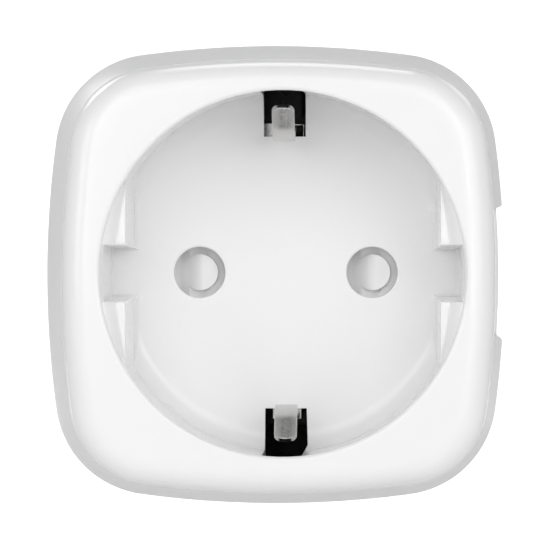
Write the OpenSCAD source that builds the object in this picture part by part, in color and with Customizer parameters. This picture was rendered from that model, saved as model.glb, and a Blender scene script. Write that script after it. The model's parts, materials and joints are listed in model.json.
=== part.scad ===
// Plug-in power meter with a round earthed socket on the front and a round
// plug on the back. The front face looks along -Y, +X is right seen from the
// front, +Z is up. The origin is the centre of the plug's end face, on the
// axis of both the plug and the socket. Millimetres throughout.
//
// Depths called t are measured from the front face towards the wall.

/* [Body] */
// Side of the rear housing at its widest
body_w = 50.5; // [50:0.1:51]
// Depth of the body from front face to rear wall
body_depth = 42; // [42:0.5:44]
// How far the cover's outline stands inside the widest outline
cover_inset = 1.7; // [1.6:0.05:1.8]
// Depth of the parting line behind the front face
seam_t = 8.5; // [8.2:0.1:8.8]
// Wall thickness of both shells
wall = 1.6; // [1.5:0.1:1.7]
// Radius of the cover's front edge
face_round = 3; // [2.6:0.2:3.2]

/* [Socket] */
// Diameter of the round socket well
well_d = 39.6; // [39.4:0.1:39.8]
// Depth of the socket well
well_depth = 17.5; // [17.5:0.1:17.6]
// Distance between the two pin holes, and between the two pins
pin_pitch = 19; // [19:0.1:19.1]
// Diameter of a pin hole
hole_d = 5.6; // [5.4:0.1:5.7]
// Width of the slot behind each earth clip
clip_slot_w = 4.5; // [4.4:0.1:4.8]
// Width of an earth clip
clip_w = 2.4; // [2.2:0.1:2.6]
// Distance of the flat side guides from the socket axis
guide_x = 17; // [16.8:0.1:17.2]

/* [Shutter] */
// How far the shutter slides to open both holes
shutter_travel = 5.6; // [5.4:0.1:5.6]
// Diameter of a ramped shutter pad
pad_d = 4.2; // [4:0.1:4.2]

/* [Plug] */
// Diameter of the plug boss
boss_d = 36.8; // [36.4:0.1:37]
// Length of the plug boss
boss_len = 17.5; // [17.5:0.1:17.6]
// Diameter of a plug pin
pin_d = 4.8; // [4.78:0.01:4.82]
// Length of a plug pin beyond the boss
pin_len = 19; // [18.8:0.1:19.2]

/* [Button] */
// Height of the recess in the right side
recess_h = 14.3; // [14:0.1:14.6]
// Travel of the side button
button_travel = 0.4; // [0.3:0.05:0.4]

/* [Hidden] */

yf = -(body_depth + boss_len);          // y of the front face
function Y(t) = yf + t;                 // depth behind the face to y
px = pin_pitch / 2;
corner_c = 13.39;                       // centre of every corner arc
corner_r = 10.95;                       // corner arc of the widest outline
half = body_w / 2;
// The side arc is tangent to the corner arcs. Its centre lies on the axis at -side_c.
side_h = half - corner_r;
side_c = (2 * corner_c * corner_c - side_h * side_h) / (2 * (side_h - corner_c));
side_r = half + side_c;
side_a = atan2(corner_c, corner_c + side_c);
cover_off = [-0.5, -0.35];              // cover centre from the socket axis
body_off = [-1.15, -0.25];
bx = body_off[0];
bz = body_off[1];
rear_t = body_depth;
r_well = well_d / 2;
floor_t = well_depth;
ring_thk = 1.4;                         // front skin of the well floor
floor_thk = 2.8;
floor_back = floor_t + floor_thk;
board_t = 36.6;                         // front face of the main board
board_thk = 1.6;
pi_seg = 12;                            // outline points in a quarter

// Outline points of the rounded square, moved inwards by d.
function quarter(d) = concat(
    [for (i = [0 : 3]) let (a = -side_a + i * side_a / 2)
        [-side_c + (side_r - d) * cos(a), (side_r - d) * sin(a)]],
    [for (i = [0 : 7]) let (a = side_a + (90 - 2 * side_a) * i / 8)
        [corner_c + (corner_r - d) * cos(a), corner_c + (corner_r - d) * sin(a)]]);
function turn(p, k) = k == 0 ? p : k == 1 ? [-p[1], p[0]] : k == 2 ? [-p[0], -p[1]] : [p[1], -p[0]];
function outline(d, off = [0, 0]) = [for (k = [0 : 3]) for (p = quarter(d)) turn(p, k) + off];

// A solid through a stack of outlines. Each row is [t, inset, offset].
module ring_solid(rows) {
    n = 4 * pi_seg;
    m = len(rows);
    polyhedron(
        points = [for (r = rows) for (p = outline(r[1], r[2])) [p[0], Y(r[0]), p[1]]],
        faces = concat(
            [[for (j = [n - 1 : -1 : 0]) j]],
            [[for (j = [0 : n - 1]) (m - 1) * n + j]],
            [for (i = [0 : m - 2]) for (j = [0 : n - 1]) [i * n + j, i * n + (j + 1) % n, (i + 1) * n + (j + 1) % n]],
            [for (i = [0 : m - 2]) for (j = [0 : n - 1]) [i * n + j, (i + 1) * n + (j + 1) % n, (i + 1) * n + j]]),
        convexity = 6);
}
// Cylinder along Y from depth t0 to t1.
module cyl_t(r, t0, t1, x = 0, z = 0, fn = 64)
    translate([x, Y(t0), z]) rotate([-90, 0, 0]) cylinder(r = r, h = t1 - t0, $fn = fn);
// Box given by its x range, depth range and z range.
module box_t(x0, x1, t0, t1, z0, z1)
    translate([x0, Y(t0), z0]) cube([x1 - x0, t1 - t0, z1 - z0]);
// Solid of revolution about the socket axis. Points are [radius, depth].
module turned(pts, fn = 96)
    translate([0, Y(0), 0]) rotate([-90, 0, 0]) rotate_extrude($fn = fn) polygon(pts);
// Strip bent in the depth-height plane, w wide across X. Points are [depth, z].
module bent_strip(pts, w, x = 0)
    translate([x - w / 2, Y(0), 0]) rotate([90, 0, 90]) linear_extrude(height = w) polygon(pts);
// Outline extruded from depth t0 to t1.
module plate_t(d, off, t0, t1)
    translate([0, Y(t1), 0]) rotate([90, 0, 0]) linear_extrude(height = t1 - t0) polygon(outline(d, off));
module screw(x, z, t_head, len, r, rh)
    translate([x, Y(t_head), z]) rotate([90, 0, 0]) difference() {
        union() {
            translate([0, 0, -0.3]) cylinder(r = r, h = len + 0.3, $fn = 32);
            translate([0, 0, -1.6]) cylinder(r = rh, h = 1.6, $fn = 48);
        }
        for (a = [0, 90]) rotate([0, 0, a]) translate([-rh * 0.55, -0.35, -1.7]) cube([rh * 1.1, 0.7, 1]);
    }

// Half-height of a side guide and of the groove between its halves.
guide_h = 9.6;
groove_h = 2.6;
slot_r0 = 14.8;
screw_pos = [[14, 14.7], [-16, -15.2]];
board_screw_pos = [[15.6, -17.2], [-13.5, 19.75]];
post_t1 = 38.3;                         // rear end of the cover's screw posts

function cover_round(i) = let (a = 90 * i / 6)
    [face_round * (1 - cos(a)), cover_inset + 0.05 + (face_round - 0.05) * (1 - sin(a)), cover_off];

module front_cover() color("white") {
    difference() {
        union() {
            difference() {
                ring_solid(concat([for (i = [0 : 6]) cover_round(i)],
                    [[seam_t - 0.3, cover_inset, cover_off], [seam_t, cover_inset + 0.3, cover_off]]));
                ring_solid([[2.2, cover_inset + wall + 0.6, cover_off], [3.2, cover_inset + wall, cover_off],
                    [seam_t + 1, cover_inset + wall, cover_off]]);
            }
            turned([[r_well, 0.9], [r_well + 1.3, 0.9], [r_well + 1.3, floor_back], [0, floor_back],
                [0, floor_t], [r_well - 2.4, floor_t], [r_well - 1.2, floor_t - 0.32], [r_well - 0.45, floor_t - 1.15], [r_well - 0.12, floor_t - 2.4]]);
            // posts for the housing screws
            for (p = screw_pos) cyl_t(3, floor_t + 1.3, post_t1, p[0], p[1], 48);
        }
        // the well, with a small lead-in at its rim
        turned([[0, -1], [r_well + 0.45, -1], [r_well + 0.45, 0], [r_well, 0.45], [r_well, 2.5], [0, 2.5]]);
        // pin holes through the front skin of the floor
        for (s = [-1, 1]) {
            cyl_t(hole_d / 2, floor_t - 1, floor_t + ring_thk + 0.5, s * px, 0);
            // channel in which a shutter pad slides
            box_t(s * px - 2.85, s * px + shutter_travel + 2.9, floor_t + ring_thk, floor_back + 1, -2.85, 2.85);
            // slot behind each earth clip
            box_t(-clip_slot_w / 2, clip_slot_w / 2, 2.2, floor_back + 1, s > 0 ? slot_r0 : -r_well - 2, s > 0 ? r_well + 2 : -slot_r0);
        }
        for (p = screw_pos) cyl_t(1.35, 24, post_t1 + 1, p[0], p[1], 32);
    }
    // flat side guides with a central groove
    difference() {
        intersection() {
            cyl_t(r_well + 0.3, 1.0, floor_t + 0.3, 0, 0, 96);
            union() {
                box_t(guide_x, r_well + 1, 1.2, floor_t + 0.2, -guide_h, guide_h);
                box_t(-r_well - 1, -guide_x, 1.2, floor_t + 0.2, -guide_h, guide_h);
            }
        }
        for (s = [-1, 1]) {
            // sloping tops
            translate([s * (r_well + 0.6), Y(0.4), -15]) rotate([0, 0, s * 30])
                translate([-10, -10, 0]) cube([20, 10, 30]);
            intersection() {
                box_t(s > 0 ? guide_x - 1 : -18.8, s > 0 ? 18.8 : -guide_x + 1, 0, floor_t, -groove_h, groove_h);
                cyl_t(18.8, 0, floor_t, 0, 0, 96);
            }
        }
    }
}

// Inset of the housing's outline at depth t, up to the rear edge rounding.
function bulge(t) = t < 20 ? cover_inset * pow((20 - t) / (20 - seam_t), 2) : 1.0 * pow((t - 20) / (rear_t - 25), 2);
rear_round = 4.6;
housing_t = [9, 11, 13.5, 16.5, 20, 26, 32];
module housing_outer() ring_solid(concat(
    [[seam_t, bulge(seam_t) + 0.3, body_off / 2 + cover_off / 2], [seam_t + 0.3, bulge(seam_t + 0.3), body_off / 2 + cover_off / 2]],
    [for (t = [11, 13.5, 16.5, 20, 26, 32]) [t, bulge(t), t < 12 ? body_off * 0.75 + cover_off * 0.25 : body_off]],
    [for (i = [0 : 5]) let (a = 90 * i / 5)
        [rear_t - rear_round * (1 - sin(a)), bulge(rear_t - rear_round) + rear_round * (1 - cos(a)), body_off]]));
module housing_inner() ring_solid([
    [seam_t - 1, cover_inset + wall + 0.2, body_off / 2 + cover_off / 2],
    [seam_t + 2.5, bulge(seam_t + 2.5) + wall + 0.1, body_off * 0.75 + cover_off * 0.25],
    [20, wall, body_off], [32, bulge(32) + wall, body_off],
    [rear_t - 3.4, bulge(36) + wall, body_off], [rear_t - 2.5, bulge(36) + wall + 0.7, body_off], [rear_t - 2, bulge(36) + wall + 2, body_off]]);

recess_x = bx + half - cover_inset - 0.2;
recess_t0 = seam_t - 1;
recess_t1 = 33;
win_t0 = 21.7;
win_t1 = 31.7;
win_h = 6.2;
module rear_housing() color("white") difference() {
    union() {
        difference() {
            housing_outer();
            housing_inner();
            // recess for the finger, in the right side
            box_t(recess_x, recess_x + 5, recess_t0, recess_t1, -recess_h / 2, recess_h / 2);
        }
        // thicker wall behind the recess
        box_t(r_well + 1.35, recess_x, seam_t + 0.4, recess_t1 + 1.6, -recess_h / 2 - 1.2, recess_h / 2 + 1.2);
        // plug boss with flat sides
        intersection() {
            cyl_t(boss_d / 2, rear_t - 1.5, rear_t + boss_len, 0, 0, 128);
            box_t(-16.7, 16.7, rear_t - 2, rear_t + boss_len + 1, -30, 30);
        }
        // screw and board posts
        for (p = screw_pos) cyl_t(4.1, post_t1 + 0.1, rear_t - 1, p[0], p[1], 48);
        for (p = board_screw_pos) cyl_t(2.4, board_t + board_thk, rear_t - 1, p[0], p[1], 48);
    }
    // hollow boss
    intersection() {
        cyl_t(boss_d / 2 - 2.6, rear_t - 3, rear_t + boss_len - 3, 0, 0, 128);
        box_t(-14.9, 14.9, rear_t - 4, rear_t + boss_len, -30, 30);
    }
    for (s = [-1, 1]) {
        // guide grooves in the sides of the boss
        box_t(s > 0 ? 15.9 : -18, s > 0 ? 18 : -15.9, rear_t + 1.5, rear_t + boss_len + 1, -2.8, 2.8);
        // notches for the plug's earth contacts
        box_t(-3.3, 3.3, rear_t + 1.2, rear_t + boss_len + 1, s > 0 ? boss_d / 2 - 1.5 : -boss_d / 2 - 2, s > 0 ? boss_d / 2 + 2 : -boss_d / 2 + 1.5);
        // passage for each earth contact's inner leg
        box_t(-2.7, 2.7, rear_t + boss_len - 9.5, rear_t + boss_len - 8.2, s > 0 ? 15 : -18, s > 0 ? 18 : -15);
        // pin holes
        cyl_t(pin_d / 2 + 0.02, rear_t + boss_len - 4, rear_t + boss_len + 1, s * px, 0);
    }
    cyl_t(2.55, rear_t + boss_len - 4, rear_t + boss_len + 1, 0, 10);
    for (p = screw_pos) {
        cyl_t(1.7, 35, rear_t + 1, p[0], p[1], 32);
        cyl_t(3.1, rear_t - 1.9, rear_t + 1, p[0], p[1], 48);
    }
    for (p = board_screw_pos) cyl_t(1.05, 35, rear_t - 1.2, p[0], p[1], 32);
    // button window
    box_t(r_well, recess_x + 1, win_t0, win_t1, -win_h, win_h);
}

// --- shutter ---
plate_t0 = floor_back + 0.1;
plate_t1 = plate_t0 + 1.8;
module shutter() color("whitesmoke") {
    difference() {
        box_t(-18.4, 12.9, plate_t0, plate_t1, -6.4, 6.4);
        for (s = [-1, 1]) cyl_t(pin_d / 2 + 0.2, plate_t0 - 1, plate_t1 + 1, s * px - shutter_travel, 0);
        // pocket for the return spring
        box_t(-1, 9.8, plate_t0 - 1, plate_t1 + 1, 3.1, 5.6);
    }
    // ramped pads, deep on the left and high on the right
    for (s = [-1, 1]) difference() {
        cyl_t(pad_d / 2, floor_t + ring_thk + 0.1, plate_t0 + 0.2, s * px, 0, 48);
        translate([s * px - pad_d / 2, Y(plate_t0), -5])
            rotate([0, 0, -atan((plate_t0 - floor_t - ring_thk - 0.1) / pad_d)])
            translate([-2, -5, 0]) cube([12, 5, 10]);
    }
    // raised step to the right of each pad
    for (s = [-1, 1]) box_t(s * px + 0.7, s * px + 2.8, floor_t + 2.2, plate_t0 + 0.1, -2.7, 2.7);
}
spring_x0 = -0.9;
spring_x1 = 8.3;
module shutter_spring() color("silver") {
    turns = 6; steps = 12; nw = 5; rc = 0.85; rw = 0.16;
    n = turns * steps;
    translate([0, Y(plate_t0 + 0.95), 4.35]) polyhedron(
        points = [for (i = [0 : n]) let (a = 360 * i / steps, x = spring_x0 + rw + (spring_x1 - spring_x0 - 2 * rw) * i / n)
            for (j = [0 : nw - 1]) let (b = 360 * j / nw)
                [x + rw * sin(b), (rc + rw * cos(b)) * cos(a), (rc + rw * cos(b)) * sin(a)]],
        faces = concat([[for (j = [0 : nw - 1]) j]], [[for (j = [nw - 1 : -1 : 0]) n * nw + j]],
            [for (i = [0 : n - 1]) for (j = [0 : nw - 1]) [i * nw + j, (i + 1) * nw + j, (i + 1) * nw + (j + 1) % nw]],
            [for (i = [0 : n - 1]) for (j = [0 : nw - 1]) [i * nw + j, (i + 1) * nw + (j + 1) % nw, i * nw + (j + 1) % nw]]),
        convexity = 10);
}
ret_t1 = plate_t1 + 1.7;
module shutter_retainer() color("gainsboro") difference() {
    union() {
        box_t(-19.5, 19.4, floor_back, ret_t1, -7.5, 7.5);
    }
    box_t(-18.6, 18.6, floor_back - 1, plate_t1 + 0.1, -6.6, 6.6);
    for (s = [-1, 1]) cyl_t(3, floor_back, ret_t1 + 1, s * px, 0);
}
module spring_stop() box_t(8.4, 9.6, plate_t0 + 0.15, plate_t1 + 0.6, 3.3, 5.4);

// --- socket contacts ---
car_t0 = ret_t1 + 1.3;
module contact_carrier() color("ivory") difference() {
    box_t(-14.2, 14.2, car_t0, board_t, -5.8, 5.8);
    for (s = [-1, 1]) {
        box_t(s * px - 3.7, s * px + 3.7, car_t0 + 1, board_t + 1, -4.8, 4.8);
        cyl_t(3.1, car_t0 - 1, car_t0 + 2, s * px, 0);
    }
    box_t(-1.9, 1.9, car_t0 - 1, board_t + 1, -0.6, 0.6);
}
function leaf(k) = [[car_t0 + 1.2, k * 3.9], [car_t0 + 1.3, k * 3.3], [car_t0 + 3.6, k * 2.5], [car_t0 + 8, k * 3.3],
    [car_t0 + 8, k * 3.9], [car_t0 + 3.8, k * 3.1], [car_t0 + 1.7, k * 3.9]];
module socket_contact(s) color("goldenrod") {
    for (k = [-1, 1]) bent_strip(leaf(k), 5.4, s * px);
    // web joining the two leaves on the outer side, with a solder tab
    box_t(s > 0 ? px + 2.7 : -px - 3.3, s > 0 ? px + 3.3 : -px - 2.7, car_t0 + 5, board_t - 0.3, -3.9, 3.9);
    box_t(s > 0 ? px + 2.7 : -px - 3.3, s > 0 ? px + 3.3 : -px - 2.7, board_t - 0.4, board_t + 2.6, -1.5, 1.5);
    for (k = [-1, 1]) box_t(s > 0 ? px + 2.5 : -px - 2.9, s > 0 ? px + 2.9 : -px - 2.5, car_t0 + 5, car_t0 + 8, k > 0 ? 3.3 : -3.9, k > 0 ? 3.9 : -3.3);
}
module live_socket_contact() socket_contact(1);
module neutral_socket_contact() socket_contact(-1);

// --- earth path ---
strap_t0 = ret_t1 + 0.3;
strap_t1 = strap_t0 + 0.8;
module earth_strap() color("silver") difference() {
    union() {
        box_t(-1.6, 1.6, strap_t0, strap_t1, -16.3, 16.3);
        for (z = [14.2, -16.3]) box_t(-2.6, 2.6, strap_t0, strap_t1, z, z + 2.1);
    }
    box_t(-1.3, 1.3, strap_t0 - 1, strap_t1 + 1, -0.45, 0.45);
}
riser_t1 = rear_t + boss_len - 8.4;
module earth_riser() color("silver") box_t(-1.25, 1.25, strap_t0, riser_t1, -0.4, 0.4);
// Earth clip profile in depth and height, for the upper clip.
clip_pts = [[strap_t0 - 0.05, 15.5], [19.5, 15.4], [14, 15.05], [11.2, 14.35], [10.3, 14.25], [9.4, 14.6], [6.4, 17.2], [5.0, 17.9],
    [5.35, 18.4], [6.9, 17.75], [10.0, 15.5], [10.6, 15.15], [11.3, 15.2], [14, 16.05], [19.5, 16.2], [strap_t0 - 0.05, 16.3]];
module earth_clip_top() color("silver") bent_strip(clip_pts, clip_w);
module earth_clip_bottom() color("silver") mirror([0, 0, 1]) earth_clip_top();
bar_t0 = riser_t1 + 0.05;
module plug_earth_bar() color("silver") difference() {
    union() {
        box_t(-2.5, 2.5, bar_t0, bar_t0 + 0.8, -15.4, 15.4);
        cyl_t(4.8, bar_t0, bar_t0 + 0.8, 0, 10);
    }
    cyl_t(3.25, bar_t0 - 1, bar_t0 + 2, 0, 10);
}
module plug_earth_contact(k) color("silver") {
    // exposed strip in the notch and the leg that passes inside
    box_t(-2.7, 2.7, rear_t + 1.6, rear_t + boss_len - 0.6, k > 0 ? boss_d / 2 - 1.48 : -boss_d / 2 + 0.6, k > 0 ? boss_d / 2 - 0.6 : -boss_d / 2 + 1.48);
    box_t(-2.5, 2.5, bar_t0 - 0.85, bar_t0 - 0.05, k > 0 ? 13.6 : -17.2, k > 0 ? 17.2 : -13.6);
}
module plug_earth_contact_top() plug_earth_contact(1);
module plug_earth_contact_bottom() plug_earth_contact(-1);
module earth_pin_sleeve() color("goldenrod") difference() {
    cyl_t(3.2, rear_t + boss_len - 15.5, rear_t + boss_len - 3.05, 0, 10);
    cyl_t(2.55, rear_t + boss_len - 14.7, rear_t + boss_len, 0, 10);
    box_t(-0.3, 0.3, rear_t + boss_len - 15, rear_t + boss_len - 10, 12, 14);
}

// --- plug pins ---
module plug_pin(s) color("silver") translate([s * px, 0, 0]) rotate([-90, 0, 0]) rotate_extrude($fn = 64)
    polygon([[0, -10], [2, -10], [2, -4.6], [3.3, -4.6], [3.3, -3.05], [pin_d / 2 - 0.25, -3.05], [pin_d / 2 - 0.25, 0.05],
        [pin_d / 2, 0.05], [pin_d / 2, pin_len - 1.5], [pin_d / 2 - 0.25, pin_len - 0.75], [pin_d / 2 - 0.85, pin_len - 0.2], [pin_d / 2 - 1.5, pin_len], [0, pin_len]]);
module live_pin() plug_pin(1);
module neutral_pin() plug_pin(-1);
module pin_carrier() color("dimgray") difference() {
    intersection() {
        cyl_t(boss_d / 2 - 2.7, rear_t + boss_len - 7.2, rear_t + boss_len - 3.05, 0, 0, 96);
        box_t(-14.8, 14.8, rear_t, rear_t + boss_len, -13.9, 13.9);
    }
    for (s = [-1, 1]) {
        cyl_t(3.4, rear_t + boss_len - 4.65, rear_t + boss_len - 2, s * px, 0);
        cyl_t(2.1, rear_t + boss_len - 8, rear_t + boss_len - 2, s * px, 0);
    }
    cyl_t(3.3, rear_t + boss_len - 8, rear_t + boss_len - 2, 0, 10);
}
// Link from a pin's stem to the main board.
module pin_link(s) color("peru") {
    difference() {
        union() {
            cyl_t(3.2, rear_t + boss_len - 9.2, rear_t + boss_len - 8.4, s * px, 0);
            box_t(s * px - 1.5, s * px + 1.5, rear_t + boss_len - 9.2, rear_t + boss_len - 8.4, -8, -1);
        }
        cyl_t(2.03, rear_t + boss_len - 10, rear_t + boss_len - 8, s * px, 0);
    }
    box_t(s * px - 1.5, s * px + 1.5, board_t - 0.6, rear_t + boss_len - 8.4, -8.3, -7.5);
}
module live_link() pin_link(1);
module neutral_link() pin_link(-1);

// --- boards ---
module main_board() color("seagreen") difference() {
    plate_t(bulge(36) + wall + 0.5, body_off, board_t, board_t + board_thk);
    for (s = [-1, 1]) {
        cyl_t(3.3, board_t - 1, board_t + 3, s * px, 0);
        box_t(s * px - 1.7, s * px + 1.7, board_t - 1, board_t + 3, -8.5, -7.3);
        box_t(s > 0 ? px + 2.6 : -px - 3.4, s > 0 ? px + 3.4 : -px - 2.6, board_t - 1, board_t + 3, -1.6, 1.6);
    }
    box_t(-1.5, 1.5, board_t - 1, board_t + 3, -0.6, 0.6);
    for (p = screw_pos) cyl_t(3.3, board_t - 1, board_t + 3, p[0], p[1]);
    for (p = board_screw_pos) cyl_t(1.2, board_t - 1, board_t + 3, p[0], p[1], 32);
}
cb_x = 14.9;
module control_board() color("seagreen") box_t(cb_x, cb_x + 1, ret_t1 + 0.6, board_t, -14.6, 7.4);
module radio_shield() color("silver") box_t(cb_x + 1, cb_x + 3, 25.6, 35.4, -14.2, -7.2);
btn_t = 27.5;                          // depth of the button's centre line
module tact_switch_body() color("dimgray") difference() {
    box_t(cb_x + 1, cb_x + 4, btn_t - 3, btn_t + 3, -3, 3);
    translate([cb_x + 2, Y(btn_t), 0]) rotate([0, 90, 0]) cylinder(r = 1.8, h = 5, $fn = 32);
}
module tact_plunger() color("black") translate([cb_x + 2.6, Y(btn_t), 0]) rotate([0, 90, 0]) cylinder(r = 1.7, h = 2.2, $fn = 32);
module status_led() color("lightgreen") box_t(cb_x + 1, cb_x + 2, btn_t - 0.8, btn_t + 0.8, 4.4, 6);
flange_x1 = r_well + 1.3;
module side_button() color("white") difference() {
    union() {
        box_t(flange_x1 - 1, recess_x - 0.1, win_t0 + 0.2, win_t1 - 0.2, -win_h + 0.2, win_h - 0.2);
        box_t(flange_x1 - 1, flange_x1, win_t0 - 0.9, win_t1 + 0.9, -win_h - 0.8, win_h + 0.8);
        translate([cb_x + 4.85, Y(btn_t), 0]) rotate([0, 90, 0]) cylinder(r = 1.5, h = 1, $fn = 32);
    }
    translate([flange_x1 - 2, Y(btn_t), 4.9]) rotate([0, 90, 0]) cylinder(r = 0.95, h = 10, $fn = 32);
}
module button_light_pipe() color("azure")
    translate([flange_x1 - 0.9, Y(btn_t), 4.9]) rotate([0, 90, 0]) cylinder(r = 0.9, h = recess_x - 0.1 - flange_x1 + 0.9, $fn = 32);

// --- relay, lying on the board in the upper left ---
rx0 = -21.0; rx1 = -2.8; rz0 = 7.6; rz1 = 17.6; rt0 = 21.4;
module relay_base() color("midnightblue") box_t(rx0, rx1, board_t - 2, board_t, rz0, rz1);
module relay_cover() color("midnightblue") difference() {
    box_t(rx0, rx1, rt0, board_t - 2.05, rz0, rz1);
    box_t(rx0 + 0.5, rx1 - 0.5, rt0 + 0.5, board_t, rz0 + 0.5, rz1 - 0.5);
}
coil_z = (rz0 + rz1) / 2;
module relay_coil() color("sienna") difference() {
    union() {
        cyl_t(3.4, 25.6, 32.8, rx0 + 5.2, coil_z, 48);
        for (t = [25.2, 32.6]) cyl_t(4.1, t, t + 0.6, rx0 + 5.2, coil_z, 48);
    }
    cyl_t(1.55, 24, 34, rx0 + 5.2, coil_z, 32);
}
module relay_yoke() color("gray") {
    cyl_t(1.5, 24.9, 33.5, rx0 + 5.2, coil_z, 32);
    box_t(rx0 + 3, rx0 + 11.3, 33.5, 34.5, coil_z - 3.5, coil_z + 3.5);
    box_t(rx0 + 10.3, rx0 + 11.3, 25.2, 33.6, coil_z - 3.5, coil_z + 3.5);
}
arm_x = rx0 + 11.3;
module relay_armature() color("gray") box_t(rx0 + 2.2, arm_x + 1.2, 23.6, 24.4, coil_z - 3, coil_z + 3);
module relay_moving_contact() color("goldenrod") {
    box_t(arm_x + 1.25, arm_x + 2.0, 23.7, 30.0, coil_z - 1.5, coil_z + 1.5);
    translate([arm_x + 2.0, Y(28.8), coil_z]) rotate([0, 90, 0]) cylinder(r = 1.3, h = 0.5, $fn = 32);
}
module relay_fixed_contact() color("goldenrod") {
    box_t(arm_x + 3.9, arm_x + 4.6, 27.0, board_t - 2.05, coil_z - 2, coil_z + 2);
    translate([arm_x + 2.76, Y(28.8), coil_z]) rotate([0, 90, 0]) cylinder(r = 1.3, h = 1.2, $fn = 32);
}

// --- supply and metering parts on the main board ---
module can_capacitor(x, z, r, h) {
    cyl_t(r, board_t - h, board_t - 0.3, x, z, 48);
    cyl_t(r - 0.5, board_t - 0.4, board_t, x, z, 48);
}
module electrolytic_capacitors() color("black") {
    can_capacitor(7.4, 12.2, 4, 11.5);
    can_capacitor(18.2, 9.6, 2.5, 11);
}
module x_capacitor() color("gold") box_t(-12.6, -1.8, board_t - 11, board_t, -14.3, -8.9);
module varistor() color("royalblue") translate([3.2, Y(board_t - 5.4), -14]) {
    rotate([0, 90, 0]) cylinder(r = 4.2, h = 3.4, $fn = 48);
    translate([0.9, 3, -2.8]) cube([0.6, 2.4, 0.6]);
    translate([1.9, 3, 2.2]) cube([0.6, 2.4, 0.6]);
}
module choke() color("saddlebrown") {
    cyl_t(3, board_t - 8, board_t, 10.8, -11.6, 48);
    cyl_t(3.7, board_t - 8.6, board_t - 7.9, 10.8, -11.6, 48);
}
module fuse_resistor() color("khaki") translate([-12.4, Y(board_t - 1.9), -17.4]) rotate([0, 90, 0]) cylinder(r = 1.8, h = 9, $fn = 32);
module metering_chip() color("black") box_t(-2.8, 2.2, board_t - 1.7, board_t, -21, -17.2);
module current_shunt() color("peru") {
    box_t(4.4, 5.9, board_t - 3.2, board_t, -21.2, -20.4);
    box_t(4.4, 11.4, board_t - 3.2, board_t - 2.5, -21.2, -20.4);
    box_t(10, 11.4, board_t - 3.2, board_t, -21.2, -20.4);
}
module bridge_rectifier() color("black") box_t(1.4, 6.6, board_t - 2.6, board_t, 17.4, 21.2);
module housing_screws() color("silver") for (p = screw_pos) screw(p[0], p[1], rear_t - 1.85, 13, 1.3, 2.7);
module board_screws() color("silver") for (p = board_screw_pos)
    translate([p[0], Y(board_t), p[1]]) rotate([-90, 0, 0]) {
        cylinder(r = 1.0, h = 3.6, $fn = 32);
        translate([0, 0, -1]) cylinder(r = 2, h = 0.99, $fn = 32);
        translate([0, 0, -0.1]) cylinder(r = 1.0, h = 0.2, $fn = 32);
    }

front_cover();
rear_housing();
union() { shutter_retainer(); color("gainsboro") spring_stop(); }
contact_carrier();
live_socket_contact();
neutral_socket_contact();
earth_strap();
earth_riser();
plug_earth_bar();
plug_earth_contact_top();
plug_earth_contact_bottom();
earth_pin_sleeve();
live_pin();
neutral_pin();
pin_carrier();
live_link();
neutral_link();
main_board();
control_board();
radio_shield();
tact_switch_body();
status_led();
relay_base();
relay_coil();
relay_yoke();
relay_fixed_contact();
relay_cover();
electrolytic_capacitors();
x_capacitor();
varistor();
choke();
fuse_resistor();
metering_chip();
current_shunt();
bridge_rectifier();
housing_screws();
board_screws();
side_button();
button_light_pipe();
tact_plunger();
shutter();
shutter_spring();
earth_clip_top();
earth_clip_bottom();
relay_armature();
relay_moving_contact();
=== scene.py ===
import json
import math

import bmesh
import bpy
import numpy as np
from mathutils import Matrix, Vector


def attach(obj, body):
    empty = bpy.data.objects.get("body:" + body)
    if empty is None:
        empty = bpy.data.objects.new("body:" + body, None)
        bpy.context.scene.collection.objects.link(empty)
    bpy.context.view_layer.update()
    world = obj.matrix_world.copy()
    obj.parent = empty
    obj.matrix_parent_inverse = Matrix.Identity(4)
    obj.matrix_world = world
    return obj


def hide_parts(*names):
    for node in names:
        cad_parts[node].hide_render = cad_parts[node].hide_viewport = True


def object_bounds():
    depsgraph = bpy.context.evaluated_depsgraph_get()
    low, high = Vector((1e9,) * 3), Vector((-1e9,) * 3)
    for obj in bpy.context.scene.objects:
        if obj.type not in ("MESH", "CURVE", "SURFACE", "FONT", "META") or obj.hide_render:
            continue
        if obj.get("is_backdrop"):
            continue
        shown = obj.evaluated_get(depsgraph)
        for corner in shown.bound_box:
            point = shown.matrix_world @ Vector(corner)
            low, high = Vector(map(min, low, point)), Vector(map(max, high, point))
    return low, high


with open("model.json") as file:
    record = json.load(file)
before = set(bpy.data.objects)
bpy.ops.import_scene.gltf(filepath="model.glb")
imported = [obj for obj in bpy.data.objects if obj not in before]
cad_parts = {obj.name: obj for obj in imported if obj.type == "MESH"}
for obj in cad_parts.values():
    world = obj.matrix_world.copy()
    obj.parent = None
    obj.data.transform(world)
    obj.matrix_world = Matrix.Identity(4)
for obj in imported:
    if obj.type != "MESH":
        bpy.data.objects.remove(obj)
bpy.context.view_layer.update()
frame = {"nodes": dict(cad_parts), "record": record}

MM = 0.001


def Y(t):
    """Depth behind the front face, in mm, to y in mm."""
    return t - 59.5


# ---------------------------------------------------------------- outline
HALF, CC, CR = 25.25, 13.39, 10.95
_h = HALF - CR
SC = (2 * CC * CC - _h * _h) / (2 * (_h - CC))
SR = HALF + SC
SA = math.atan2(CC, CC + SC)
COVER = np.array([-0.5, -0.35])
BODY = np.array([-1.15, -0.25])
R_WELL, FLOOR, FLOOR_BACK = 19.8, 17.5, 20.3
SEAM = 8.5
NS, NC = 24, 40


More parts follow.
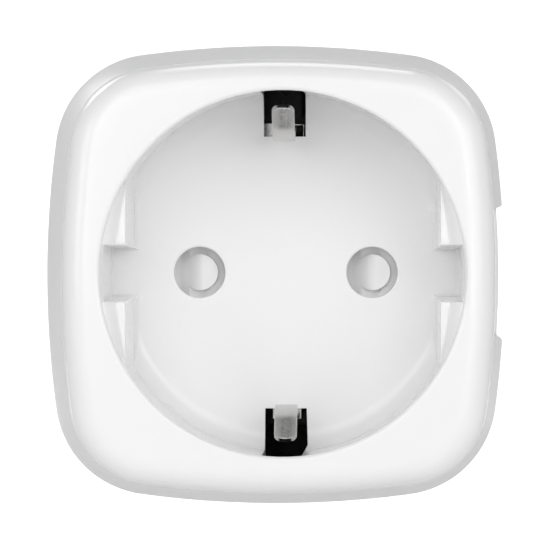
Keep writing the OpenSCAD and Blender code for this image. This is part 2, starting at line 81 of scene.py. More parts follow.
def outline(d, off):
    """The rounded square moved inwards by d, as an N x 2 array of x, z in mm."""
    q = []
    for i in range(NS):
        a = -SA + 2 * SA * i / NS
        q.append((-SC + (SR - d) * math.cos(a), (SR - d) * math.sin(a)))
    for i in range(NC):
        a = SA + (math.pi / 2 - 2 * SA) * i / NC
        q.append((CC + (CR - d) * math.cos(a), CC + (CR - d) * math.sin(a)))
    q = np.array(q)
    out = []
    for k in range(4):
        x, z = q[:, 0], q[:, 1]
        out.append({0: np.c_[x, z], 1: np.c_[-z, x], 2: np.c_[-x, -z], 3: np.c_[z, -x]}[k])
    return np.vstack(out) + np.asarray(off)


N = 4 * (NS + NC)
_edge = outline(4.7, COVER)
PHI = np.arctan2(_edge[:, 1], _edge[:, 0])
_edge_b = outline(6, BODY)
PHI_B = np.arctan2(_edge_b[:, 1], _edge_b[:, 0])


def ring(xz, t):
    xz = np.asarray(xz)
    return np.c_[xz[:, 0], np.full(len(xz), Y(t)), xz[:, 1]]


def circ(r, t, phi=None):
    phi = PHI if phi is None else phi
    return np.c_[r * np.cos(phi), np.full(len(phi), Y(t)), r * np.sin(phi)]


# ---------------------------------------------------------------- mesh tools
def make(name, verts, faces, smooth=True):
    me = bpy.data.meshes.new(name)
    me.from_pydata([tuple(float(c) * MM for c in v) for v in verts], [], [tuple(f) for f in faces])
    me.validate()
    bm = bmesh.new()
    bm.from_mesh(me)
    bmesh.ops.remove_doubles(bm, verts=bm.verts, dist=1e-8)
    bmesh.ops.recalc_face_normals(bm, faces=bm.faces)
    bm.to_mesh(me)
    bm.free()
    ob = bpy.data.objects.new(name, me)
    bpy.context.scene.collection.objects.link(ob)
    return ob


def tube(rows, closed=False):
    """Quads through a list of rings of equal length. Returns verts, faces."""
    m, n = len(rows), len(rows[0])
    verts = np.vstack(rows)
    faces = []
    for i in range(m if closed else m - 1):
        a, b = i * n, ((i + 1) % m) * n
        for j in range(n):
            k = (j + 1) % n
            faces.append((a + j, a + k, b + k, b + j))
    return verts, faces


def shell(name, rows):
    """A closed solid through rings, capped at both ends."""
    verts, faces = tube(rows)
    n, m = len(rows[0]), len(rows)
    faces.append(tuple(range(n - 1, -1, -1)))
    faces.append(tuple((m - 1) * n + j for j in range(n)))
    return make(name, verts, faces)


def prism_t(name, pts, t0, t1):
    """A polygon of x, z points extruded from depth t0 to t1."""
    pts = np.asarray(pts, float)
    return shell(name, [ring(pts, t0), ring(pts, t1)])


def circle(r, x=0.0, z=0.0, n=96):
    a = np.linspace(0, 2 * math.pi, n, endpoint=False)
    return np.c_[x + r * np.cos(a), z + r * np.sin(a)]


def turned(name, prof, x=0.0, z=0.0, n=96):
    """A solid of revolution along Y. The profile holds radius, depth t from one end to the other."""
    return shell(name, [ring(circle(max(r, 0.02), x, z, n), t) for r, t in prof])


def turned_x(name, prof, t, z, n=64):
    """A solid of revolution along X. The profile holds radius, x."""
    a = np.linspace(0, 2 * math.pi, n, endpoint=False)
    rows = [np.c_[np.full(n, x), Y(t) + max(r, 0.02) * np.cos(a), z + max(r, 0.02) * np.sin(a)] for r, x in prof]
    return shell(name, rows)


def box_pts(x0, x1, z0, z1):
    return [(x0, z0), (x1, z0), (x1, z1), (x0, z1)]


def box_t(name, x0, x1, t0, t1, z0, z1):
    return prism_t(name, box_pts(x0, x1, z0, z1), t0, t1)


def rrect(w, h, r, n=8):
    """Rounded rectangle w by h about the origin."""
    p = []
    for cx, cz, a0 in ((w / 2 - r, h / 2 - r, 0), (-w / 2 + r, h / 2 - r, 90), (-w / 2 + r, -h / 2 + r, 180), (w / 2 - r, -h / 2 + r, 270)):
        for i in range(n + 1):
            a = math.radians(a0 + 90 * i / n)
            p.append((cx + r * math.cos(a), cz + r * math.sin(a)))
    return np.array(p)


def boolean(ob, *cutters, op="DIFFERENCE"):
    for c in cutters:
        m = ob.modifiers.new("b", "BOOLEAN")
        m.object, m.operation, m.solver = c, op, "EXACT"
        dg = bpy.context.evaluated_depsgraph_get()
        me = bpy.data.meshes.new_from_object(ob.evaluated_get(dg))
        ob.modifiers.clear()
        old = ob.data
        ob.data = me
        bpy.data.meshes.remove(old)
        cm = c.data
        bpy.data.objects.remove(c)
        bpy.data.meshes.remove(cm)
    return ob


def clean(ob, dist=2e-6):
    bm = bmesh.new()
    bm.from_mesh(ob.data)
    bmesh.ops.remove_doubles(bm, verts=bm.verts, dist=dist)
    bmesh.ops.dissolve_degenerate(bm, edges=bm.edges, dist=1e-6)
    loose = [v for v in bm.verts if not v.link_faces]
    bmesh.ops.delete(bm, geom=loose, context="VERTS")
    bm.to_mesh(ob.data)
    bm.free()
    return ob


def finish_mesh(ob, angle=32, bevel=0.0, segments=2, bevel_angle=40):
    """Smooth shading with sharp edges kept, an optional small bevel, and weighted normals."""
    clean(ob)
    if bevel:
        b = ob.modifiers.new("bevel", "BEVEL")
        b.width, b.segments = bevel * MM, segments
        b.limit_method, b.angle_limit = "ANGLE", math.radians(bevel_angle)
        b.miter_outer = "MITER_ARC"
        b.use_clamp_overlap = True
        dg = bpy.context.evaluated_depsgraph_get()
        me = bpy.data.meshes.new_from_object(ob.evaluated_get(dg))
        ob.modifiers.clear()
        old = ob.data
        ob.data = me
        bpy.data.meshes.remove(old)
    me = ob.data
    me.shade_smooth()
    me.set_sharp_from_angle(angle=math.radians(angle))
    w = ob.modifiers.new("normals", "WEIGHTED_NORMAL")
    w.mode, w.weight, w.keep_sharp = "FACE_AREA", 50, True
    return ob


def join(name, obs):
    bm = bmesh.new()
    for o in obs:
        bm.from_mesh(o.data)
    me = bpy.data.meshes.new(name)
    bm.to_mesh(me)
    bm.free()
    for o in obs:
        d = o.data
        bpy.data.objects.remove(o)
        bpy.data.meshes.remove(d)
    ob = bpy.data.objects.new(name, me)
    bpy.context.scene.collection.objects.link(ob)
    return ob


# ---------------------------------------------------------------- materials
def _tree(name):
    m = bpy.data.materials.new(name)
    m.use_nodes = True
    nt = m.node_tree
    nt.nodes.clear()
    out = nt.nodes.new("ShaderNodeOutputMaterial")
    bsdf = nt.nodes.new("ShaderNodeBsdfPrincipled")
    nt.links.new(bsdf.outputs[0], out.inputs[0])
    co = nt.nodes.new("ShaderNodeTexCoord")
    return m, nt, bsdf, co.outputs["Object"]


def _noise(nt, vec, scale_mm, detail=2.0, rough=0.5, stretch=None, distortion=0.0):
    if stretch is not None:
        mp = nt.nodes.new("ShaderNodeMapping")
        mp.inputs["Scale"].default_value = stretch
        nt.links.new(vec, mp.inputs["Vector"])
        vec = mp.outputs[0]
    n = nt.nodes.new("ShaderNodeTexNoise")
    n.inputs["Scale"].default_value = 1000.0 / scale_mm
    n.inputs["Detail"].default_value = detail
    n.inputs["Roughness"].default_value = rough
    n.inputs["Distortion"].default_value = distortion
    nt.links.new(vec, n.inputs["Vector"])
    return n.outputs["Fac"]


def _range(nt, val, a, b, lo=0.35, hi=0.65):
    r = nt.nodes.new("ShaderNodeMapRange")
    r.inputs["From Min"].default_value, r.inputs["From Max"].default_value = lo, hi
    r.inputs["To Min"].default_value, r.inputs["To Max"].default_value = a, b
    nt.links.new(val, r.inputs["Value"])
    return r.outputs[0]


def _mix(nt, fac, a, b):
    x = nt.nodes.new("ShaderNodeMix")
    x.data_type = "RGBA"
    if isinstance(fac, float):
        x.inputs[0].default_value = fac
    else:
        nt.links.new(fac, x.inputs[0])
    for sock, v in ((x.inputs[6], a), (x.inputs[7], b)):
        if isinstance(v, tuple):
            sock.default_value = (*v, 1)
        else:
            nt.links.new(v, sock)
    return x.outputs[2]


def _bump(nt, bsdf, height, strength, dist_mm, chain=None):
    b = nt.nodes.new("ShaderNodeBump")
    b.inputs["Strength"].default_value = strength
    b.inputs["Distance"].default_value = dist_mm * MM
    nt.links.new(height, b.inputs["Height"])
    if chain is not None:
        nt.links.new(chain, b.inputs["Normal"])
    nt.links.new(b.outputs[0], bsdf.inputs["Normal"])
    return b.outputs[0]


def _edges(nt, lo=0.52, hi=0.6):
    g = nt.nodes.new("ShaderNodeNewGeometry")
    return _range(nt, g.outputs["Pointiness"], 0.0, 1.0, lo, hi)


def plastic(name, col, rough=0.3, spec=0.5, grain=0.25, bump=0.05, vary=0.02, wear=0.04, coat=0.0, mottle=9.0):
    """Moulded plastic: slow colour drift, fine spark texture, edges rubbed a little paler."""
    m, nt, b, co = _tree(name)
    slow = _noise(nt, co, mottle, 3.0, 0.55)
    fine = _noise(nt, co, grain, 4.0, 0.6)
    dark = tuple(max(0.0, c * (1 - vary) - vary * 0.05) for c in col)
    pale = tuple(min(0.95, c * (1 + vary * 0.5)) for c in col)
    base = _mix(nt, _range(nt, slow, 0.0, 1.0), dark, pale)
    if wear:
        e = nt.nodes.new("ShaderNodeMath")
        e.operation = "MULTIPLY"
        nt.links.new(_edges(nt), e.inputs[0])
        e.inputs[1].default_value = wear
        base = _mix(nt, e.outputs[0], base, tuple(min(1.0, c + 0.1) for c in col))
    nt.links.new(base, b.inputs["Base Color"])
    nt.links.new(_range(nt, fine, rough - 0.03, rough + 0.05), b.inputs["Roughness"])
    b.inputs["Specular IOR Level"].default_value = spec
    b.inputs["Coat Weight"].default_value = coat
    b.inputs["Coat Roughness"].default_value = 0.12
    first = _bump(nt, b, slow, 0.12, 0.02)
    _bump(nt, b, fine, bump, 0.01, first)
    return m


def metal(name, col, rough=0.25, brush=None, bump=0.12, vary=0.12, tarnish=0.25, grain=0.12):
    """Plated or rolled metal: rolling lines along one direction, faint tarnish."""
    m, nt, b, co = _tree(name)
    lines = _noise(nt, co, grain, 3.0, 0.6, brush or (1, 1, 1))
    cloud = _noise(nt, co, 1.6, 4.0, 0.6)
    dark = tuple(c * (1 - vary) for c in col)
    base = _mix(nt, _range(nt, cloud, 0.0, tarnish, 0.45, 0.75), col, dark)
    base = _mix(nt, _range(nt, lines, 0.0, 0.35), base, tuple(min(1.0, c * 1.08) for c in col))
    nt.links.new(base, b.inputs["Base Color"])
    b.inputs["Metallic"].default_value = 1.0
    nt.links.new(_range(nt, lines, rough * 0.75, rough * 1.3), b.inputs["Roughness"])
    _bump(nt, b, lines, bump, 0.004)
    return m


def board(name, col):
    """Solder mask over copper tracks, with pads and a fine glass weave."""
    m, nt, b, co = _tree(name)
    mp = nt.nodes.new("ShaderNodeMapping")
    mp.inputs["Scale"].default_value = (1, 0.02, 1)
    nt.links.new(co, mp.inputs["Vector"])
    br = nt.nodes.new("ShaderNodeTexVoronoi")
    br.feature, br.distance = "DISTANCE_TO_EDGE", "MANHATTAN"
    br.inputs["Scale"].default_value = 330
    nt.links.new(mp.outputs[0], br.inputs["Vector"])
    tracks = _range(nt, br.outputs["Distance"], 1.0, 0.0, 0.02, 0.06)
    weave = _noise(nt, co, 0.3, 2.0)
    base = _mix(nt, tracks, col, tuple(min(1, c * 1.9 + 0.01) for c in col))
    base = _mix(nt, _range(nt, weave, 0.0, 0.25), base, tuple(c * 0.6 for c in col))
    nt.links.new(base, b.inputs["Base Color"])
    nt.links.new(_range(nt, weave, 0.28, 0.42), b.inputs["Roughness"])
    _bump(nt, b, tracks, 0.25, 0.03)
    return m


def winding(name, col, axis_scale):
    """Enamelled wire wound side by side."""
    m, nt, b, co = _tree(name)
    w = nt.nodes.new("ShaderNodeTexWave")
    w.wave_type, w.bands_direction = "BANDS", axis_scale
    w.inputs["Scale"].default_value = 700
    w.inputs["Distortion"].default_value = 0.6
    nt.links.new(co, w.inputs["Vector"])
    # the colour falls to a third in the grooves between the turns: painted shade, following the bump
    base = _mix(nt, w.outputs["Fac"], tuple(c * 0.35 for c in col), col)
    nt.links.new(base, b.inputs["Base Color"])
    b.inputs["Metallic"].default_value = 0.6
    nt.links.new(_range(nt, w.outputs["Fac"], 0.45, 0.28, 0.0, 1.0), b.inputs["Roughness"])
    _bump(nt, b, w.outputs["Fac"], 0.8, 0.06)
    return m


def clear(name, col, rough=0.12):
    m, nt, b, co = _tree(name)
    n = _noise(nt, co, 0.8, 3.0)
    base = _mix(nt, _range(nt, n, 0.0, 1.0), col, tuple(min(1, c * 1.05) for c in col))
    nt.links.new(base, b.inputs["Base Color"])
    nt.links.new(_range(nt, n, rough * 0.8, rough * 1.4), b.inputs["Roughness"])
    b.inputs["Transmission Weight"].default_value = 0.6
    b.inputs["IOR"].default_value = 1.49
    _bump(nt, b, n, 0.1, 0.01)
    return m


MAT = {
    "cover_white": plastic("cover_white", (0.955, 0.955, 0.955), 0.15, 0.5, 0.22, 0.012, 0.008, 0.03),
    "housing_white": plastic("housing_white", (0.885, 0.887, 0.888), 0.34, 0.5, 0.20, 0.07, 0.012, 0.04),
    "shutter_white": plastic("shutter_white", (0.90, 0.90, 0.90), 0.42, 0.45, 0.16, 0.08, 0.02, 0.03),
    "button_white": plastic("button_white", (0.82, 0.825, 0.83), 0.38, 0.45, 0.18, 0.06, 0.02, 0.05),
    "light_pipe": clear("light_pipe", (0.85, 0.92, 0.95)),
    "nickel_plate": metal("nickel_plate", (0.60, 0.595, 0.59), 0.20, (1, 0.3, 1), 0.02, 0.08, 0.2, 0.35),
    "contact_bronze": metal("contact_bronze", (0.72, 0.50, 0.26), 0.24, (1, 0.15, 1), 0.10, 0.2, 0.5),
    "copper_strip": metal("copper_strip", (0.74, 0.40, 0.25), 0.3, (1, 0.15, 1), 0.12, 0.3, 0.6),
    "dark_moulding": plastic("dark_moulding", (0.045, 0.045, 0.05), 0.5, 0.4, 0.2, 0.15, 0.15, 0.2),
    "natural_moulding": plastic("natural_moulding", (0.10, 0.10, 0.10), 0.5, 0.4, 0.2, 0.12, 0.06, 0.05),
    "board_green": board("board_green", (0.004, 0.022, 0.009)),
    "shield_tin": metal("shield_tin", (0.62, 0.63, 0.64), 0.3, None, 0.2, 0.15, 0.6, 0.5),
    "relay_blue": plastic("relay_blue", (0.02, 0.05, 0.16), 0.28, 0.5, 0.3, 0.08, 0.1, 0.15),
    "coil_copper": winding("coil_copper", (0.45, 0.18, 0.08), "Y"),
    "soft_iron": metal("soft_iron", (0.42, 0.42, 0.43), 0.38, None, 0.2, 0.25, 0.6, 0.3),
    "capacitor_sleeve": plastic("capacitor_sleeve", (0.02, 0.02, 0.03), 0.25, 0.5, 0.5, 0.06, 0.2, 0.2),
    "film_yellow": plastic("film_yellow", (0.65, 0.45, 0.05), 0.3, 0.5, 0.3, 0.06, 0.06, 0.1),
    "varistor_blue": plastic("varistor_blue", (0.03, 0.10, 0.38), 0.35, 0.5, 0.5, 0.25, 0.1, 0.1),
    "ferrite": winding("ferrite", (0.12, 0.10, 0.09), "Y"),
    "resistor_body": plastic("resistor_body", (0.35, 0.42, 0.33), 0.55, 0.3, 0.2, 0.3, 0.1, 0.1),
    "chip_black": plastic("chip_black", (0.015, 0.015, 0.015), 0.55, 0.4, 0.12, 0.3, 0.2, 0.1),
    "steel_screw": metal("steel_screw", (0.56, 0.56, 0.57), 0.28, None, 0.2, 0.2, 0.5, 0.15),
    "spring_steel": metal("spring_steel", (0.62, 0.62, 0.63), 0.22, (0.2, 1, 1), 0.1, 0.1, 0.3),
    "led_body": clear("led_body", (0.75, 0.85, 0.7), 0.2),
    # near-black painted shade on the faces deep inside the two white shells, where the white plastic lies in shadow
    "painted_shade_inside": plastic("painted_shade_inside", (0.03, 0.03, 0.03), 0.7, 0.2, 0.4, 0.15, 0.05, 0.0),
}
SLOT = {s["node"]: s["material_slot"] for s in frame["record"]["subparts"] if "node" in s}
for n, o in frame["nodes"].items():
    o.data.materials.clear()
    o.data.materials.append(MAT[SLOT[n]])


def place(ob, body, nodes, slot, mat=None):
    if not ob.data.materials:
        ob.data.materials.append(mat or MAT[slot])
    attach(ob, body)
    if nodes:
        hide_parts(*nodes)
    return ob


# ---------------------------------------------------------------- front cover
def face_rows():
    inner, outer = circ(20.25, 0)[:, [0, 2]], outline(4.7, COVER)
    return [ring(inner * (1 - k) + outer * k, 0) for k in (0.0, 0.12, 0.4, 0.75, 1.0)]


def cover_shell():
    rows = [circ(16.9, FLOOR), circ(17.4, FLOOR)]
    for a in range(9, 91, 9):
        a = math.radians(a)
        rows.append(circ(17.4 + 2.3 * math.sin(a), FLOOR - 2.4 * (1 - math.cos(a))))
    rows += [circ(19.74, 13.6), circ(19.78, 11.5), circ(R_WELL, 8), circ(R_WELL, 4), circ(R_WELL, 1.2)]
    for a in (0, 15, 30, 45, 60, 75):
        a = math.radians(a)
        rows.append(circ(R_WELL + 0.45 * (1 - math.cos(a)), 0.45 * (1 - math.sin(a))))
    rows += face_rows()
    for i in range(1, 19):
        a = math.radians(5 * i)
        rows.append(ring(outline(1.75 + 2.95 * (1 - math.sin(a)), COVER), 3 * (1 - math.cos(a))))
    rows += [ring(outline(1.73, COVER), 4.5), ring(outline(1.71, COVER), 6.3), ring(outline(1.7, COVER), 8.15),
             ring(outline(1.74, COVER), 8.27), ring(outline(1.84, COVER), 8.40), ring(outline(2.0, COVER), SEAM)]
    rows += [ring(outline(3.3, COVER), SEAM), ring(outline(3.3, COVER), 3.2), ring(outline(3.9, COVER), 2.2)]
    last = outline(3.9, COVER)
    cup = circ(21.1, 2.2)[:, [0, 2]]
    lim = np.hypot(last[:, 0], last[:, 1]) - 0.06
    cup = cup * np.minimum(1, lim / 21.1)[:, None]
    rows += [ring(cup, 2.2), circ(21.1, 3.4), circ(21.1, FLOOR_BACK)]
    return shell("front_cover_moulding", rows)


def guide(sx, sz):
    """One half of a side guide: drafted flat, sloping lead-in on top, a bright shelf beside the edge."""
    def valley(z):
        return 18.1 - 0.155 * (z - 3)

    def top(x, z):
        xr = math.sqrt(max(R_WELL ** 2 - z * z, 1)) + 0.05
        xb = min(valley(z), xr - 0.18)
        t_rim, t_low = 0.75, 2.5
        if x >= xr:
            return t_rim
        if x >= xb:
            s = (xr - x) / (xr - xb)
            return t_rim + (t_low - t_rim) * (0.35 * s + 0.65 * s ** 1.9)
        k = (xb - x) / max(xb - 17.04, 0.01)
        return t_low - 0.10 * min(1, k)

    R = 0.22
    def round_off(e):
        return R - math.sqrt(R * R - (R - e) ** 2) if e < R else 0.0

    us = [0, 0.025, 0.07, 0.14, 0.22] + list(np.linspace(0.45, 7.55, 36))     # along z from the groove
    vs = [0, 0.025, 0.07, 0.14, 0.22] + list(np.linspace(0.3, 1.0, 15))       # across, in mm then as a share
    z_top, z_low, x_top, x_low = 3.05, 2.66, 17.04, 16.6
    grid = []
    for u in us:
        z = z_top + u
        x_out = math.sqrt(20.5 ** 2 - z * z)
        row = []
        for k, v in enumerate(vs):
            x = x_top + v if k < 5 else x_top + 0.22 + (x_out - x_top - 0.22) * (v - 0.25) / 0.75
            t = top(x, z) + max(round_off(u), round_off(x - x_top))
            row.append((x, t, z))
        grid.append(row)
    nu, nv = len(us), len(vs)
    verts = [p for row in grid for p in row]
    faces = [(i * nv + j, (i + 1) * nv + j, (i + 1) * nv + j + 1, i * nv + j + 1) for i in range(nu - 1) for j in range(nv - 1)]
    rim = [(i, 0) for i in range(nu)] + [(nu - 1, j) for j in range(1, nv)] + [(i, nv - 1) for i in range(nu - 2, -1, -1)] + [(0, j) for j in range(nv - 2, 0, -1)]
    levels = [(0.25, 0.0), (0.5, 0.0), (0.75, 0.0), (0.93, 0.0), (0.955, 0.04), (0.975, 0.13), (0.99, 0.28), (1.0, 0.5), (1.0, 0.5)]
    prev = [i * nv + j for i, j in rim]
    for lev, (f, fil) in enumerate(levels):
        cur = []
        for i, j in rim:
            x, t, z = grid[i][j]
            t_end = FLOOR + (0.6 if lev == len(levels) - 1 else 0.0)
            tt = t + (t_end - t) * f
            draft = (tt - 2.0) / 15.5
            nx = x - (x_top - x_low) * draft - fil if j == 0 else x
            nz = z - (z_top - z_low) * draft - fil * 0.5 if i == 0 else z
            cur.append(len(verts))
            verts.append((nx, tt, nz))
        n = len(rim)
        for k in range(n):
            faces.append((prev[k], prev[(k + 1) % n], cur[(k + 1) % n], cur[k]))
        prev = cur
    faces.append(tuple(prev))
    pts = [(sx * x, Y(t), sz * z) for x, t, z in verts]
    return make("guide", pts, faces)


def groove_back(sx):
    """The drafted wall at the end of the groove, between the two halves of a guide."""
    rows = []
    for t, r in ((1.0, 19.76), (1.4, 19.64), (3, 19.56), (8, 19.46), (13, 19.36), (16.0, 19.3), (16.9, 19.22), (17.3, 19.06), (FLOOR + 0.02, 18.8), (FLOOR + 0.6, 18.8)):
        zs = np.linspace(-3.3, 3.3, 25)
        inner = [(math.sqrt(r * r - z * z), z) for z in zs]
        outer = [(math.sqrt(20.5 ** 2 - z * z), z) for z in zs[::-1]]
        rows.append(ring(np.array([(sx * x, z) for x, z in inner + outer]), t))
    return shell("groove_back", rows)


def build_cover():
    ob = cover_shell()
    for x, z in ((14, 14.7), (-16, -15.2)):
        boolean(ob, prism_t("post", circle(3, x, z, 64), 18.8, 38.3), op="UNION")
    for sx in (-1, 1):
        zs = np.linspace(-2.9, 2.9, 25)
        arc = [(sx * math.sqrt(20.1 ** 2 - z * z), z) for z in zs]
        boolean(ob, prism_t("groove", [(sx * 16.6, 2.9), (sx * 16.6, -2.9)] + arc, 10.0, FLOOR - 0.006))
        boolean(ob, groove_back(sx), op="UNION")
        for sz in (-1, 1):
            boolean(ob, guide(sx, sz), op="UNION")
    # clip slots: the lower one has one cut corner
    boolean(ob, prism_t("slot", [(-2.42, 14.95), (2.18, 14.95), (2.22, 21.9), (-2.46, 21.9)], 0.7, 21.3))
    boolean(ob, prism_t("slot", [(-2.28, -14.97), (2.30, -14.97), (2.42, -19.0), (1.9, -19.95), (1.9, -21.9), (-2.3, -21.9)], 1.1, 21.3))
    for s in (-1, 1):
        x = s * 9.5
        prof = [(3.06, FLOOR - 0.5), (3.05, FLOOR - 0.0), (2.94, FLOOR + 0.02), (2.85, FLOOR + 0.09), (2.8, FLOOR + 0.22), (2.8, 19.4)]
        prof[0] = (3.3, FLOOR - 0.5)
        boolean(ob, turned("hole", prof, x, 0, 128))
        boolean(ob, box_t("channel", x - 2.85, x + 8.5, 18.9, 21.3, -2.85, 2.85))
    for x, z in ((14, 14.7), (-16, -15.2)):
        boolean(ob, prism_t("bore", circle(1.35, x, z, 40), 24, 39.3))
    ob.name = "cover_moulding"
    return ob


def paint_inside(ob, test, outside, inside):
    """Two materials on one moulding: the white outside, and near-black painted shade on the faces deep inside."""
    ob.data.materials.clear()
    ob.data.materials.append(MAT[outside])
    ob.data.materials.append(MAT[inside])
    for p in ob.data.polygons:
        c = p.center / MM
        p.material_index = 1 if test(c.x, c.y + 59.5, c.z, p.normal) else 0


cover = finish_mesh(build_cover(), 30)


def inset(x, z, off):
    """How far a point lies inside the widest outline."""
    ax, az = abs(x - off[0]), abs(z - off[1])
    if az > ax:
        ax, az = az, ax
    if math.atan2(az, ax + SC) < SA:
        return SR - math.hypot(ax + SC, az)
    return CR - math.hypot(ax - CC, az - CC)


def inside_cover(x, t, z, n):
    r, dd = math.hypot(x, z), inset(x, z, COVER)
    if t > FLOOR_BACK - 0.02 or (r > 20.85 and t > 2.15 and t < 20.4 and dd > 3.0):
        return True
    return t > 2.15 and dd > 2.6 and r > 20.9


paint_inside(cover, inside_cover, "cover_white", "painted_shade_inside")
place(cover, "root", ["front_cover"], "cover_white")


# ---------------------------------------------------------------- rear housing
def bulge(t):
    return 1.7 * ((20 - t) / 11.5) ** 2 if t < 20 else ((t - 20) / 17) ** 2


def off_at(t):
    k = min(1.0, max(0.0, (t - SEAM) / 5.0))
    k = 0.5 + 0.5 * (k * k * (3 - 2 * k))
    return BODY * k + COVER * (1 - k)


def housing_shell():
    rows = [ring(outline(2.0, off_at(SEAM)), SEAM), ring(outline(1.84, off_at(SEAM)), 8.6), ring(outline(1.73, off_at(8.7)), 8.72)]
    for t in (8.9, 9.4, 10, 10.8, 11.6, 12.5, 13.5, 14.6, 16, 17.5, 19, 21, 24, 27, 30, 33, 35.5, 37.4):
        rows.append(ring(outline(bulge(t) if t > 8.95 else bulge(t) + 0.03, off_at(t)), t))
    for i in range(1, 16):
        a = math.radians(6 * i)
        rows.append(ring(outline(bulge(37.4) + 4.6 * (1 - math.cos(a)), BODY), 42 - 4.6 * (1 - math.sin(a))))
    rows += [ring(outline(7.5, BODY), 42)]
    rows += [ring(outline(7.5, BODY), 40.0), ring(outline(4.6, BODY), 40.0), ring(outline(3.3, BODY), 39.2), ring(outline(2.7, BODY), 37.5), ring(outline(2.2, BODY), 32),
             ring(outline(1.6, BODY), 20), ring(outline(bulge(11) + 1.7, off_at(11)), 11), ring(outline(3.5, off_at(SEAM)), SEAM)]
    verts, faces = tube(rows, closed=True)
    # the rear wall is the closed ring's middle: fill it with its own plate
    ob = make("rear_housing_moulding", verts, faces)
    plate = prism_t("plate", outline(7.3, BODY), 40.0, 42.0)
    return boolean(ob, plate, op="UNION")


def boss_plan(r, flat):
    a = np.linspace(0, 2 * math.pi, 256, endpoint=False)
    p = np.c_[r * np.cos(a), r * np.sin(a)]
    p[:, 0] = np.clip(p[:, 0], -flat, flat)
    keep = [0]
    for i in range(1, len(p)):
        if np.hypot(*(p[i] - p[keep[-1]])) > 1e-4:
            keep.append(i)
    return p[keep]


def boss():
    e = 0.9
    rows = [ring(boss_plan(18.4, 16.7), 40.5)]
    for i in range(0, 10):
        a = math.radians(10 * i)
        k = e * (1 - math.cos(a))
        rows.append(ring(boss_plan(18.4, 16.7) * (1 - k / 18.4), 59.5 - e * (1 - math.sin(a))))
    return shell("boss", rows)


RX = BODY[0] + HALF - 1.9


def recess_cut():
    """Finger recess: soft inner corners, and ends that round over into the side."""
    pts = [(RX + 0.0, z) for z in np.linspace(-6.1, 6.1, 9)]
    for i in range(1, 9):
        a = math.radians(-90 + 90 * i / 8)
        pts.append((RX + 1.0 + 0 * a + 1.0 * math.sin(a) - 0.0, 6.1 + 1.0 * math.cos(a)))
    x0 = RX + 1.0
    R, xo = 0.9, BODY[0] + HALF - 0.05
    for i in range(0, 9):
        a = math.radians(90 * i / 8)
        pts.append((xo - R + R * math.sin(a), 7.1 + R * (1 - math.cos(a))))
    pts += [(xo + 3, 7.1 + R)]
    p = [q for i, q in enumerate(pts) if i == 0 or math.hypot(q[0] - pts[i - 1][0], q[1] - pts[i - 1][1]) > 1e-3]
    top = [q for q in p if q[1] > 6.2]
    full = [(x, -z) for x, z in reversed(top)] + [q for q in p if abs(q[1]) <= 6.2] + top
    pts = np.array(full)
    rows = [ring(pts, 7.0), ring(pts, 31.9)]
    for i in range(1, 7):
        a = math.radians(15 * i)
        k = 1.1 * (1 - math.cos(a))
        q = pts.copy()
        q[:, 0] = np.where(q[:, 0] < RX + 4, q[:, 0] + k, q[:, 0])
        rows.append(ring(q, 31.9 + 1.1 * math.sin(a)))
    return shell("recess", rows)


def build_housing():
    ob = housing_shell()
    boolean(ob, box_t("wall", 21.15, RX + 0.3, 8.95, 34.6, -8.35, 8.35), op="UNION")
    boolean(ob, boss(), op="UNION")
    for x, z in ((14, 14.7), (-16, -15.2)):
        boolean(ob, prism_t("post", circle(4.1, x, z, 64), 38.4, 41), op="UNION")
    for x, z in ((15.6, -17.2), (-13.5, 19.75)):
        boolean(ob, prism_t("post", circle(2.4, x, z, 48), 38.2, 41), op="UNION")
    boolean(ob, recess_cut())
    hollow = prism_t("hollow", [(max(-14.9, min(14.9, x)), z) for x, z in circle(15.8, 0, 0, 200)], 39, 56.5)
    clean(hollow)
    boolean(ob, hollow)
    for s in (-1, 1):
        g = [(s * 18.5, -3.3), (s * 16.4, -2.9), (s * 16.0, -2.55), (s * 15.9, -2.1), (s * 15.9, 2.1), (s * 16.0, 2.55), (s * 16.4, 2.9), (s * 18.5, 3.3)]
        boolean(ob, prism_t("groove", g, 43.5, 61))
        k = [(-3.3, s * 16.9), (3.3, s * 16.9), (3.35, s * 20), (-3.35, s * 20)]
        boolean(ob, prism_t("notch", k, 43.2, 61))
        boolean(ob, box_t("leg", -2.7, 2.7, 50.0, 51.3, s * 15 if s > 0 else -18, 18 if s > 0 else -15))
        boolean(ob, turned("pinhole", [(2.42, 55), (2.42, 59.3), (2.5, 59.42), (2.65, 59.52), (2.9, 60)], s * 9.5, 0, 96))
    boolean(ob, turned("earthhole", [(2.55, 55), (2.55, 59.0), (2.62, 59.25), (2.85, 59.45), (3.3, 59.9)], 0, 10, 96))
    for x, z in ((14, 14.7), (-16, -15.2)):
        boolean(ob, turned("seat", [(1.7, 35), (1.7, 40.1), (3.1, 40.1), (3.1, 41.8), (3.2, 41.95), (3.45, 42.2)], x, z, 80))
    for x, z in ((15.6, -17.2), (-13.5, 19.75)):
        boolean(ob, prism_t("bore", circle(1.05, x, z, 40), 35, 40.8))
    win = rrect(12.4, 10.0, 1.0)
    rows = [np.c_[np.full(len(win), x), Y(26.7 + w * win[:, 1]), w * win[:, 0]] for x, w in ((19.8, 1.0), (RX - 0.15, 1.0), (RX - 0.05, 1.012), (RX + 0.3, 1.06))]
    boolean(ob, shell("window", rows))
    return ob


housing = finish_mesh(build_housing(), 30)


def inside_housing(x, t, z, n):
    if t > 42.05:
        return abs(x) < 15.2 and math.hypot(x, z) < 15.95 and t < 56.6
    if x > 21.0 and abs(z) < 9 and t < 36:
        return x < 21.3
    return inset(x, z, off_at(t)) > bulge(t) + 1.2 and 9.2 < t < 40.3 and not (t > 39.9 and n.y > 0.5)


paint_inside(housing, inside_housing, "housing_white", "painted_shade_inside")
place(housing, "root", ["rear_housing"], "housing_white")


